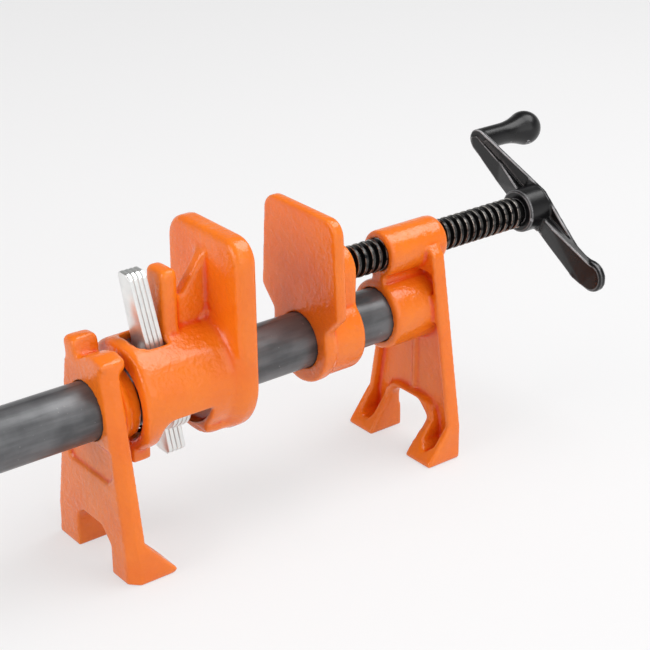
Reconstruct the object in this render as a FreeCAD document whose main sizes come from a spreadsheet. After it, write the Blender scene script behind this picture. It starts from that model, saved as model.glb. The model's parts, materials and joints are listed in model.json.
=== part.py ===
import FreeCAD, Part
import math
import os
import Sketcher
from FreeCAD import Placement, Rotation, Vector

# Woodworking pipe clamp: a threaded head with a crank and a sliding jaw at one end of a 3/4 inch pipe,
# and a tail jaw with a plate clutch and a stand further along it. Lengths are millimetres.
# X runs along the pipe towards the crank, Y across it and Z up from the bench.

# The driving dimensions. Each row is the name in the sheet, the value and what it measures.
SIZES = [
    ("pipe_radius", 13.335, "outside of the pipe"),
    ("pipe_wall", 2.87, "wall of the pipe"),
    ("pipe_length", 457.2, "whole length of the pipe"),
    ("pipe_chamfer", 0.8, "broken edges of the pipe's ends"),
    ("pipe_height", 74.4, "pipe axis above the bench"),
    ("pipe_seat", 19.0, "how far the pipe reaches into the head, from the front of its feet"),
    ("thread_land", 20.0, "length of the threaded tail end of the pipe"),
    ("thread_relief", 0.4, "how much the threaded end is smaller in radius"),
    ("slide_gap", 0.25, "play between the pipe and the holes that slide on it"),
    ("seat_gap", 0.15, "play between pieces that sit together"),
    ("running_gap", 0.06, "play of a shaft in its hole"),
    ("cut_overrun", 4.0, "how far a cut runs past the face that it opens"),
    # Screw and its retaining pin
    ("screw_rise", 30.9, "screw axis above the pipe axis"),
    ("screw_radius", 7.94, "outside of the screw's thread"),
    ("screw_thread", 111.45, "length of the thread between the jaw and the crank"),
    ("screw_nose_radius", 6.0, "plain nose inside the jaw"),
    ("screw_nose", 16.6, "length of the nose"),
    ("screw_edge", 0.7, "broken edges of the screw"),
    ("screw_journal_radius", 6.2, "plain end inside the crank's hub"),
    ("groove_radius", 3.65, "bottom of the groove round the nose"),
    ("groove_width", 4.3, "width of that groove"),
    ("retaining_pin_radius", 1.9, "pin that holds the screw in the jaw"),
    ("retaining_pin_setback", 5.5, "pin axis in front of the jaw's rear face"),
    # Head casting
    ("head_depth", 20.1, "front of the feet to the flat rear"),
    ("head_rim_depth", 7.6, "depth of the rim round the web"),
    ("head_web", 3.1, "thickness of the web"),
    ("head_rim", 3.6, "thickness of the rim"),
    ("foot_half_width", 31.4, "outside of a foot from the middle"),
    ("foot_shoulder", 18.0, "height where the sides start to lean in"),
    ("shoulder_half_width", 30.9, "half width at that height"),
    ("neck_half_width", 15.9, "half width at the screw axis"),
    ("foot_inside", 13.0, "inside of a foot from the middle"),
    ("arch_half_width", 13.9, "half width of the arch between the feet"),
    ("arch_height", 24.4, "top of the arch"),
    ("arch_corner", 7.0, "rounding of the arch's top"),
    ("arch_rib", 4.9, "width of the rib beside the arch"),
    ("arch_crown", 2.2, "width of the rib over the arch"),
    ("slot_floor", 4.8, "lower end of the recess in each foot"),
    ("slot_corner", 4.0, "rounding of that recess"),
    ("toe_lip", 1.5, "height of the toe's front edge"),
    ("toe_rise", 18.0, "height where the toe meets the rim"),
    ("head_shoulder", 4.0, "rounding of the head's top corners"),
    ("screw_boss_radius", 11.3, "front of the screw boss"),
    ("screw_boss_reach", 8.6, "screw boss in front of the feet"),
    ("screw_boss_tail", 6.9, "screw boss behind the flat rear"),
    ("screw_boss_end", 1.6, "bevel of the boss's rear end"),
    ("pipe_boss_radius", 17.2, "pipe boss"),
    ("pipe_boss_reach", 9.5, "pipe boss in front of the feet"),
    ("boss_edge", 1.2, "bevel of the bosses' front edges"),
    ("boss_web", 9.0, "thickness of the web that joins the bosses"),
    ("keel_width", 2.4, "rib down the middle of the web"),
    ("keel_height", 1.0, "how far that rib stands out"),
    # Sliding jaw
    ("jaw_setback", 55.0, "clamping face in front of the feet"),
    ("jaw_plate", 6.0, "thickness of the jaw's plate"),
    ("jaw_depth", 25.1, "clamping face to the rear of the collar"),
    ("jaw_top", 140.0, "top of the sliding jaw"),
    ("jaw_top_half_width", 26.3, "half width at the top"),
    ("jaw_wing_half_width", 29.0, "half width at the widest"),
    ("jaw_wing_height", 93.5, "height of the widest place"),
    ("jaw_waist_half_width", 20.0, "half width below the wings"),
    ("jaw_waist_height", 84.0, "height below the wings"),
    ("jaw_corner", 8.0, "rounding of the top corners"),
    ("jaw_edge", 1.0, "bevel of the jaw's edges"),
    ("collar_radius", 19.7, "collar round the pipe"),
    ("jaw_ring_radius", 20.7, "lower end of the jaw's plate, round the pipe"),
    ("collar_edge", 1.6, "bevel of the collar's rear edge"),
    ("jaw_boss_radius", 11.7, "boss round the screw's nose"),
    ("jaw_boss_web", 17.0, "thickness of the web between boss and collar"),
    # Tail jaw
    ("jaw_gap", 42.0, "opening between the two jaws at rest"),
    ("tail_plate", 10.4, "thickness of the tail jaw's plate"),
    ("tail_top", 143.0, "top of the tail jaw"),
    ("tail_top_half_width", 27.1, "half width at the top"),
    ("tail_waist_half_width", 28.2, "half width beside the pipe"),
    ("tail_waist_height", 77.0, "height of that place"),
    ("tail_bottom", 47.0, "lowest point of the plate"),
    ("tail_corner", 11.0, "rounding of the top corners"),
    ("tail_edge", 2.0, "bevel of the plate's rear edge"),
    ("tail_face_edge", 1.5, "bevel of the clamping face's edge"),
    ("barrel_radius", 25.6, "barrel round the clutch"),
    ("barrel_lift", 2.2, "barrel axis above the pipe axis"),
    ("barrel_length", 45.3, "length of the barrel behind the plate"),
    ("barrel_wall", 3.6, "wall of the barrel"),
    ("barrel_edge", 1.8, "bevel of the barrel's rear edge"),
    ("mouth_radius", 18.4, "opening in the barrel's rear end"),
    ("mouth_depth", 4.7, "thickness of the barrel's rear end"),
    ("chamber_front", 17.0, "clamping face to the clutch chamber"),
    ("slot_half_width", 10.3, "half width of the slot for the clutch plates"),
    ("slot_length", 15.1, "length of that slot"),
    ("slot_rounding", 6.5, "rounding of the slot's rear corners"),
    ("cut_front", 22.5, "clamping face to the opening under the barrel"),
    ("cut_rear", 47.5, "clamping face to the rear of that opening"),
    ("cut_height", 70.3, "top of that opening"),
    ("cut_corner", 6.0, "rounding of its rear corner"),
    ("lip_width", 20.0, "width of the lip under the barrel's rear"),
    ("lip_bottom", 46.8, "bottom of that lip"),
    ("lip_step", 0.2, "step from the opening's rear to the lip"),
    ("tab_half_width", 7.2, "half width of the finger tab"),
    ("tab_thickness", 8.0, "thickness of the finger tab"),
    ("tab_setback", 35.0, "clamping face to the rear of the finger tab"),
    ("tab_top", 130.5, "top of the finger tab"),
    ("tab_rounding", 2.4, "rounding of the finger tab's corners"),
    ("tab_edge", 1.6, "bevel of the finger tab's top"),
    ("gusset_width", 7.0, "thickness of the gusset between tab and plate"),
    ("gusset_top", 135.0, "top of the gusset on the plate"),
    ("gusset_foot", 116.0, "height of the gusset at the tab"),
    ("gusset_notch", 4.0, "clear space in front of the tab above the gusset"),
    ("skirt_half_width", 18.0, "half width of the skirt under the barrel's front"),
    ("skirt_thickness", 3.8, "thickness of the skirt"),
    ("skirt_step", 0.8, "step from the plate's edge to the skirt"),
    # Clutch
    ("clutch_count", 4, "number of clutch plates"),
    ("clutch_pitch", 2.2, "one clutch plate to the next"),
    ("clutch_play", 0.1, "play between two clutch plates"),
    ("clutch_tilt", 10.0, "lean of the plates when they grip, in degrees"),
    ("clutch_hole_radius", 14.6, "hole in a clutch plate"),
    ("clutch_disc_radius", 19.2, "round part of a clutch plate"),
    ("clutch_tab_rise", 58.8, "top of a plate above the pipe axis"),
    ("clutch_tab_half_width", 4.6, "half width of a plate's top"),
    ("clutch_root_half_width", 6.6, "half width of the top tab at the disc"),
    ("clutch_tail_drop", 33.0, "bottom of a plate below the pipe axis"),
    ("clutch_tail_half_width", 5.6, "half width of a plate's lower tab"),
    ("clutch_corner", 2.4, "rounding of a plate's corners"),
    ("clutch_face_gap", 0.3, "front plate to the rear of the finger tab, once squeezed"),
    ("clutch_pivot_rise", 24.6, "height over the pipe axis where the plates lean on the barrel"),
    ("spring_wire_radius", 0.8, "half the wire of the clutch spring"),
    ("spring_coil_radius", 15.3, "middle of the wire from the pipe axis"),
    ("spring_turns", 2, "turns of the clutch spring"),
    ("spring_seat", 0.25, "play at each end of the spring"),
    # Tail stand
    ("stand_gap", 16.0, "rear of the stand to the rear of the barrel"),
    ("stand_depth", 8.4, "depth of the stand's legs"),
    ("stand_web", 3.4, "thickness of the stand's web"),
    ("stand_rim", 3.6, "thickness of the stand's rim"),
    ("stand_foot_half_width", 31.2, "outside of a foot from the middle"),
    ("stand_shoulder", 16.0, "height where the sides start to lean in"),
    ("stand_shoulder_half_width", 30.6, "half width at that height"),
    ("stand_top", 102.4, "height of the stand's top corners"),
    ("stand_top_half_width", 14.9, "half width at the top"),
    ("stand_inside", 13.7, "inside of a foot from the middle"),
    ("stand_arch_height", 21.0, "top of the stand's arch"),
    ("stand_arch_corner", 7.0, "rounding of that arch"),
    ("stand_arch_rib", 4.0, "width of the rib round the arch"),
    ("stand_toe_reach", 23.4, "rear of the stand to the tip of a toe"),
    ("stand_toe_lip", 1.8, "height of the toe's tip"),
    ("stand_toe_rise", 18.5, "height where the toe meets the leg"),
    ("stand_slot_floor", 5.0, "lower end of the recess in each leg"),
    ("stand_edge", 2.4, "rounding of the stand's rear edges"),
    ("ring_radius", 17.8, "collar on the front of the stand"),
    ("ring_depth", 13.2, "rear of the stand to the front of that collar"),
    ("ring_edge", 1.6, "bevel of that collar"),
    ("spigot_radius", 16.6, "spigot that centres the stand in the barrel"),
    ("spigot_depth", 17.6, "rear of the stand to the end of the spigot"),
    ("recess_half_width", 18.0, "half width of the recess in the rear face"),
    ("recess_bottom", 44.5, "bottom of that recess"),
    ("recess_depth", 1.6, "depth of that recess"),
    ("recess_corner", 4.0, "rounding of its corners"),
    ("horn_length", 12.6, "length of the thumb rest along the pipe"),
    ("horn_top", 104.1, "top of the thumb rest"),
    ("horn_fall", 1.4, "how far its front and rear edges fall"),
    ("horn_foot", 7.6, "where the thumb rest rises, from the middle"),
    ("hollow_radius", 14.0, "hollow of the thumb rest"),
    ("saddle_height", 96.4, "lowest place of that hollow"),
    # Crank
    ("crank_angle", 27.0, "lean of the crank's arms, in degrees"),
    ("hub_radius", 10.9, "hub of the crank"),
    ("hub_length", 13.3, "length of the hub"),
    ("hub_edge", 1.0, "bevel of the hub's front edge"),
    ("arm_plate", 2.0, "thin plate behind the arms"),
    ("arm_hub_side", 10.3, "side of the plate at the hub, from the middle"),
    ("arm_grip_side", 6.0, "side of the plate at the grip"),
    ("arm_belly", 13.3, "bulge of the lower arm, from the middle"),
    ("arm_belly_reach", 38.5, "hub to that bulge"),
    ("arm_hollow", 0.4, "hollow side of the lower arm, from the middle"),
    ("arm_hollow_reach", 36.3, "hub to that hollow"),
    ("spine_depth", 5.0, "depth of the spine on the arms"),
    ("spine_upper_side", 2.4, "upper side of the spine at the hub, from the middle"),
    ("spine_lower_side", 6.9, "lower side of the spine at the hub, from the middle"),
    ("spine_tip_upper", 1.4, "upper side of the spine at the grip"),
    ("spine_tip_lower", 2.8, "lower side of the spine at the grip"),
    ("spine_belly_round", 190.0, "bulge of the spine's lower side"),
    ("spine_ridge_round", 58.0, "hollow of the spine's upper side below the hub"),
    ("spine_inset", 1.4, "edge of the plate to the edge of the spine"),
    ("grip_reach", 50.0, "grip axis from the screw axis"),
    ("grip_stem_radius", 5.7, "stem of the grip"),
    ("grip_ball_radius", 9.0, "ball of the grip"),
    ("grip_flare", 36.0, "hollow rounding from the stem to the ball"),
    ("grip_end", 42.3, "back of the hub to the end of the ball"),
    ("paddle_reach", 47.8, "middle of the paddle from the screw axis"),
    ("paddle_offset", 3.6, "middle of the paddle below the arms' line"),
    ("paddle_radius", 7.9, "paddle at the end of the lower arm"),
    ("paddle_heel_round", 22.0, "rounding from the paddle to the bulge of the arm"),
    ("paddle_thickness", 4.0, "thickness of the paddle"),
    ("paddle_edge", 1.3, "bevel of the paddle"),
    ("cross_pin_radius", 1.6, "pin through the hub"),
    ("cross_pin_setback", 5.6, "pin axis behind the hub's front"),
]


class Size:
    """A length with the expression of the sheet that gives it."""

    def __init__(self, value, text):
        self.value = value
        self.text = text

    def joined(self, other, sign, swap=False):
        first, second = self, other if isinstance(other, Size) else Size(other, repr(other))
        if swap:
            first, second = second, first
        results = {"+": lambda a, b: a + b, "-": lambda a, b: a - b, "*": lambda a, b: a * b, "/": lambda a, b: a / b}
        return Size(results[sign](first.value, second.value), "(%s %s %s)" % (first.text, sign, second.text))

    def __add__(self, other):
        return self.joined(other, "+")

    def __radd__(self, other):
        return self.joined(other, "+", True)

    def __sub__(self, other):
        return self.joined(other, "-")

    def __rsub__(self, other):
        return self.joined(other, "-", True)

    def __mul__(self, other):
        return self.joined(other, "*")

    def __rmul__(self, other):
        return self.joined(other, "*", True)

    def __truediv__(self, other):
        return self.joined(other, "/")

    def __neg__(self):
        return Size(-self.value, "(-%s)" % self.text)


def root(size):
    return Size(math.sqrt(size.value), "sqrt(%s)" % size.text)


def cosine(size):
    return Size(math.cos(math.radians(size.value)), "cos(%s)" % size.text)


def sine(size):
    return Size(math.sin(math.radians(size.value)), "sin(%s)" % size.text)


class Namespace:
    """Gives each size of the sheet by its name."""


ZERO = Size(0.0, "0")
document = FreeCAD.newDocument("pipe_clamp")
sheet = document.addObject("Spreadsheet::Sheet", "Sizes")
s = Namespace()
for row, (alias, value, meaning) in enumerate(SIZES, start=1):
    sheet.set("A%d" % row, str(value))
    sheet.setAlias("A%d" % row, alias)
    sheet.set("B%d" % row, meaning)
    setattr(s, alias, Size(value, "Sizes.%s" % alias))
document.recompute()

# Places that follow from the sizes
screw_height = s.pipe_height + s.screw_rise
slide_radius = s.pipe_radius + s.slide_gap
jaw_rear = s.jaw_depth - s.jaw_setback
crank_reach = jaw_rear + s.seat_gap + s.screw_thread
grip_tip = crank_reach + s.hub_length + s.grip_end
pipe_end = s.pipe_seat - s.pipe_length
head_station = -(grip_tip + pipe_end) / 2
jaw_station = head_station - s.jaw_setback
tail_station = jaw_station - s.jaw_gap
barrel_rear = s.tail_plate + s.barrel_length
stand_station = tail_station - barrel_rear - s.stand_gap
crank_station = head_station + crank_reach
barrel_height = s.pipe_height + s.barrel_lift
grip_side = s.grip_reach * cosine(s.crank_angle) + s.grip_ball_radius
paddle_side = s.paddle_reach * cosine(s.crank_angle) - s.paddle_offset * sine(s.crank_angle) + s.paddle_radius
middle_side = (paddle_side - grip_side) / 2
waist_rise = s.tail_waist_height - s.tail_bottom
tail_round = (s.tail_waist_half_width * s.tail_waist_half_width + waist_rise * waist_rise) / (waist_rise * 2)


def new_body(label, x, z=ZERO, turn=None):
    """An empty body, placed along the pipe and, where it has a turn, leaned about the X axis."""
    body = document.addObject("PartDesign::Body", label)
    body.Label = label
    if turn is not None:
        body.Placement = Placement(Vector(), Rotation(Vector(1, 0, 0), turn.value))
        body.setExpression("Placement.Rotation.Angle", turn.text)
    body.setExpression("Placement.Base.x", x.text)
    body.setExpression("Placement.Base.y", middle_side.text)
    body.setExpression("Placement.Base.z", z.text)
    return body


def origin_plane(body, role):
    return [item for item in body.Origin.OriginFeatures if item.Role == role][0]


def new_sketch(body, name, plane, lift=ZERO, rise=ZERO):
    """A sketch on an origin plane, moved along the plane's normal and up it."""
    sketch = body.newObject("Sketcher::SketchObject", name)
    sketch.AttachmentSupport = [(origin_plane(body, plane), "")]
    sketch.MapMode = "FlatFace"
    sketch.setExpression("AttachmentOffset.Base.z", lift.text)
    sketch.setExpression("AttachmentOffset.Base.y", rise.text)
    return sketch


def sized(value):
    return value if isinstance(value, Size) else Size(float(value), repr(value))


def hold(sketch, item, end, place):
    """Ties a point of a sketch to the sheet, or to an axis where its coordinate is nothing."""
    for kind, axis, coordinate in (("DistanceX", -2, place[0]), ("DistanceY", -1, place[1])):
        if coordinate.text == "0":
            sketch.addConstraint(Sketcher.Constraint("PointOnObject", item, end, axis))
        else:
            tie = Sketcher.Constraint(kind, -1, 1, item, end, coordinate.value)
            sketch.setExpression("Constraints[%d]" % sketch.addConstraint(tie), coordinate.text)


def arc_between(start, finish, radius):
    """The short arc between two points; a positive radius turns left on the way."""
    run = finish - start
    reach = math.sqrt(max(radius * radius - run.Length * run.Length / 4, 0))
    side = Vector(-run.y, run.x, 0).normalize() * math.copysign(reach, radius)
    centre = (start + finish) / 2 + side
    first, last = (start, finish) if radius > 0 else (finish, start)
    angles = [math.atan2(point.y - centre.y, point.x - centre.x) for point in (first, last)]
    circle = Part.Circle(centre, Vector(0, 0, 1), abs(radius))
    return Part.ArcOfCircle(circle, angles[0], angles[1])


def trace(sketch, points):
    """Closes an outline through points; a third value is the radius of the arc that ends there."""
    places = [(sized(point[0]), sized(point[1])) for point in points]
    vectors = [Vector(place[0].value, place[1].value, 0) for place in places]
    items = []
    for index in range(len(points)):
        following = (index + 1) % len(points)
        bend = points[following][2] if len(points[following]) > 2 else None
        if bend is None:
            item = sketch.addGeometry(Part.LineSegment(vectors[index], vectors[following]))
            items.append((item, 1, 2))
        else:
            item = sketch.addGeometry(arc_between(vectors[index], vectors[following], bend.value))
            items.append((item, 1, 2) if bend.value > 0 else (item, 2, 1))
            size = bend if bend.value > 0 else -bend
            tie = Sketcher.Constraint("Radius", item, size.value)
            sketch.setExpression("Constraints[%d]" % sketch.addConstraint(tie), size.text)
    for index in range(len(points)):
        item, start, finish = items[index]
        following = items[(index + 1) % len(points)]
        sketch.addConstraint(Sketcher.Constraint("Coincident", item, finish, following[0], following[1]))
        hold(sketch, item, start, places[index])


def ring(sketch, radius, x=ZERO, y=ZERO):
    item = sketch.addGeometry(Part.Circle(Vector(x.value, y.value, 0), Vector(0, 0, 1), radius.value))
    hold(sketch, item, 3, (x, y))
    tie = Sketcher.Constraint("Radius", item, radius.value)
    sketch.setExpression("Constraints[%d]" % sketch.addConstraint(tie), radius.text)


def mirrored(points):
    """Adds the other half of an outline that is the same on both sides of the middle."""
    other = [(-sized(point[0]),) + tuple(point[1:2]) for point in reversed(points)]
    return points + other


def pad(body, name, sketch, length, both_sides=False):
    feature = body.newObject("PartDesign::Pad", name)
    feature.Profile = sketch
    feature.setExpression("Length", length.text)
    feature.SideType = "Symmetric" if both_sides else "One side"
    return feature


def pocket(body, name, sketch, length, both_sides=False, forwards=True):
    """Cuts a sketch along its plane's normal, or against it."""
    document.recompute()
    before = body.Shape.Volume
    feature = body.newObject("PartDesign::Pocket", name)
    feature.Profile = sketch
    feature.setExpression("Length", length.text)
    feature.SideType = "Symmetric" if both_sides else "One side"
    feature.Reversed = forwards
    document.recompute()
    if body.Shape.Volume >= before:
        raise ValueError("%s of %s cuts nothing" % (name, body.Label))
    return feature


def revolve(body, name, sketch):
    feature = body.newObject("PartDesign::Revolution", name)
    feature.Profile = sketch
    feature.ReferenceAxis = (sketch, ["H_Axis"])
    feature.Angle = 360
    return feature


def dress_edges(body, kind, name, property_name, size, wanted):
    """Dresses the edges of the body that a test picks."""
    document.recompute()
    tip = body.Tip
    names = ["Edge%d" % number for number, edge in enumerate(tip.Shape.Edges, start=1) if wanted(edge)]
    if not names:
        raise ValueError("%s of %s finds no edge" % (name, body.Label))
    feature = body.newObject(kind, name)
    feature.Base = (tip, names)
    feature.setExpression(property_name, size.text)
    document.recompute()
    if "Invalid" in feature.State:
        raise ValueError("%s of %s can't be made" % (name, body.Label))
    return feature


def round_edges(body, name, radius, wanted):
    return dress_edges(body, "PartDesign::Fillet", name, "Radius", radius, wanted)


def break_edges(body, name, size, wanted):
    return dress_edges(body, "PartDesign::Chamfer", name, "Size", size, wanted)


NEAR = 0.02


def same(first, second):
    return abs(first - second) < NEAR


def along_x(*places):
    """Straight edges along the pipe at the given places across and up."""
    spots = [(sized(y).value, sized(z).value) for y, z in places]

    def wanted(edge):
        ends = [vertex.Point for vertex in edge.Vertexes]
        if len(ends) != 2 or not same(ends[0].y, ends[1].y) or not same(ends[0].z, ends[1].z):
            return False
        return any(same(ends[0].y, y) and same(ends[0].z, z) for y, z in spots)

    return wanted


def circle_at(x, radius):
    """Round edges of a radius in a plane across the pipe."""

    def wanted(edge):
        curve = edge.Curve
        return (isinstance(curve, Part.Circle) and same(curve.Radius, sized(radius).value)
                and same(edge.BoundBox.XMin, sized(x).value) and same(edge.BoundBox.XMax, sized(x).value))

    return wanted


def in_plane_x(x, reach=None):
    """Edges that lie in a plane across the pipe, as far from the middle as the reach says."""

    def wanted(edge):
        box = edge.BoundBox
        flat = same(box.XMin, sized(x).value) and same(box.XMax, sized(x).value)
        return flat and (reach is None or reach(box))

    return wanted


def make_pipe():
    """The pipe, with a threaded land at its tail end."""
    body = new_body("pipe", head_station + s.pipe_seat, s.pipe_height)
    sketch = new_sketch(body, "pipe_profile", "XZ_Plane")
    inside = s.pipe_radius - s.pipe_wall
    land_radius = s.pipe_radius - s.thread_relief
    land_start = -s.pipe_length + s.thread_land
    trace(sketch, [
        (ZERO, inside),
        (ZERO, s.pipe_radius - s.pipe_chamfer),
        (-s.pipe_chamfer, s.pipe_radius),
        (land_start, s.pipe_radius),
        (land_start - s.thread_relief, land_radius),
        (-s.pipe_length + s.pipe_chamfer, land_radius),
        (-s.pipe_length, land_radius - s.pipe_chamfer),
        (-s.pipe_length, inside),
    ])
    revolve(body, "pipe_wall_turned", sketch)
    return body


def make_head():
    """The head casting: a ribbed web on two feet, with a boss for the pipe and one for the screw."""
    body = new_body("head_casting", head_station)
    rim_front = s.head_depth - s.head_rim_depth
    web_front = s.head_depth - s.head_web
    side = [
        (s.foot_half_width, ZERO),
        (s.shoulder_half_width, s.foot_shoulder),
        (s.neck_half_width, screw_height - s.head_shoulder / 2),
        (s.neck_half_width - s.head_shoulder, screw_height + s.head_shoulder / 2, s.head_shoulder),
    ]
    outline = new_sketch(body, "plate_outline", "YZ_Plane", rim_front)
    trace(outline, mirrored(side))
    pad(body, "plate", outline, s.head_rim_depth)

    toe = new_sketch(body, "toe_profile", "XZ_Plane")
    trace(toe, [
        (ZERO, ZERO),
        (rim_front, ZERO),
        (rim_front, s.toe_rise),
        (ZERO, s.toe_lip),
    ])
    pad(body, "toes", toe, s.foot_half_width * 2, both_sides=True)

    # The sides of the toes stand upright, so the outline trims them
    trim = new_sketch(body, "arch_outline", "YZ_Plane", -s.cut_overrun)
    trace(trim, mirrored([
        (s.foot_inside, -s.cut_overrun),
        (s.foot_inside, ZERO),
        (s.arch_half_width, s.arch_height - s.arch_corner),
        (s.arch_half_width - s.arch_corner, s.arch_height, s.arch_corner),
    ]))
    pocket(body, "arch", trim, s.head_depth + s.cut_overrun * 2)

    # Recess in front of the web, with a rounded end in each foot
    rib = s.arch_half_width + s.arch_rib
    rib_top = s.arch_height + s.arch_crown
    lean_share = (s.shoulder_half_width - s.neck_half_width) / (screw_height - s.foot_shoulder)
    slot_outside = s.shoulder_half_width - s.head_rim
    recess = new_sketch(body, "recess_outline", "YZ_Plane", web_front)
    trace(recess, mirrored([
        (rib, s.slot_floor + s.slot_corner),
        (rib + s.slot_corner, s.slot_floor, s.slot_corner),
        (slot_outside - s.slot_corner, s.slot_floor),
        (slot_outside, s.slot_floor + s.slot_corner, s.slot_corner),
        (slot_outside, s.foot_shoulder),
        (s.neck_half_width - s.head_rim + lean_share * s.screw_boss_radius, screw_height - s.screw_boss_radius),
    ]) + [
        (-rib, rib_top - s.arch_rib * 2),
        (-rib + s.arch_rib * 2, rib_top, -s.arch_rib * 2),
        (rib - s.arch_rib * 2, rib_top),
        (rib, rib_top - s.arch_rib * 2, -s.arch_rib * 2),
    ])
    pocket(body, "recess", recess, s.head_depth, forwards=False)

    keel = new_sketch(body, "keel_outline", "YZ_Plane", web_front - s.keel_height)
    trace(keel, mirrored([
        (s.keel_width / 2, rib_top - s.keel_height),
        (s.keel_width / 2, s.pipe_height),
    ]))
    pad(body, "keel", keel, s.keel_height * 2)

    pipe_boss = new_sketch(body, "pipe_boss_circle", "YZ_Plane", -s.pipe_boss_reach)
    ring(pipe_boss, s.pipe_boss_radius, ZERO, s.pipe_height)
    pad(body, "pipe_boss", pipe_boss, s.pipe_boss_reach + s.head_depth)
    break_edges(body, "pipe_boss_edge", s.boss_edge, circle_at(-s.pipe_boss_reach, s.pipe_boss_radius))

    joining = new_sketch(body, "boss_web_outline", "YZ_Plane", -s.screw_boss_reach)
    trace(joining, mirrored([
        (s.boss_web / 2, s.pipe_height),
        (s.boss_web / 2, screw_height),
    ]))
    pad(body, "boss_web", joining, s.screw_boss_reach + s.head_depth)

    boss_end = s.head_depth + s.screw_boss_tail
    boss = new_sketch(body, "screw_boss_profile", "XZ_Plane", ZERO, screw_height)
    trace(boss, [
        (-s.screw_boss_reach, ZERO),
        (boss_end, ZERO),
        (boss_end, s.screw_boss_radius - s.screw_boss_end),
        (boss_end - s.screw_boss_end, s.screw_boss_radius),
        (-s.screw_boss_reach + s.boss_edge, s.screw_boss_radius),
        (-s.screw_boss_reach, s.screw_boss_radius - s.boss_edge),
    ])
    revolve(body, "screw_boss", boss)

    bore = new_sketch(body, "bore_circles", "YZ_Plane", -s.pipe_boss_reach - s.cut_overrun)
    ring(bore, s.pipe_radius + s.seat_gap, ZERO, s.pipe_height)
    ring(bore, s.screw_radius + s.running_gap, ZERO, screw_height)
    pocket(body, "bores", bore, s.pipe_boss_reach + boss_end + s.cut_overrun * 2)
    return body


def make_screw():
    """The screw, with a grooved nose for the jaw and a plain end for the crank."""
    body = new_body("main_screw", jaw_station + s.jaw_depth + s.seat_gap, screw_height, s.crank_angle)
    groove_middle = -s.retaining_pin_setback - s.seat_gap
    journal_end = s.screw_thread + s.hub_length - s.seat_gap
    profile = new_sketch(body, "screw_profile", "XZ_Plane")
    trace(profile, [
        (-s.screw_nose, ZERO),
        (journal_end, ZERO),
        (journal_end, s.screw_journal_radius - s.screw_edge),
        (journal_end - s.screw_edge, s.screw_journal_radius),
        (s.screw_thread, s.screw_journal_radius),
        (s.screw_thread, s.screw_radius - s.screw_edge),
        (s.screw_thread - s.screw_edge, s.screw_radius),
        (s.screw_edge, s.screw_radius),
        (ZERO, s.screw_radius - s.screw_edge),
        (ZERO, s.screw_nose_radius),
        (groove_middle + s.groove_width / 2, s.screw_nose_radius),
        (groove_middle + s.groove_width / 2, s.groove_radius),
        (groove_middle - s.groove_width / 2, s.groove_radius),
        (groove_middle - s.groove_width / 2, s.screw_nose_radius),
        (-s.screw_nose + s.screw_edge, s.screw_nose_radius),
        (-s.screw_nose, s.screw_nose_radius - s.screw_edge),
    ])
    revolve(body, "screw_turned", profile)
    hole = new_sketch(body, "cross_hole_circle", "XY_Plane", -s.screw_radius * 2)
    ring(hole, s.cross_pin_radius + s.running_gap, s.screw_thread + s.cross_pin_setback, ZERO)
    pocket(body, "cross_hole", hole, s.screw_radius * 4)
    return body


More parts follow.
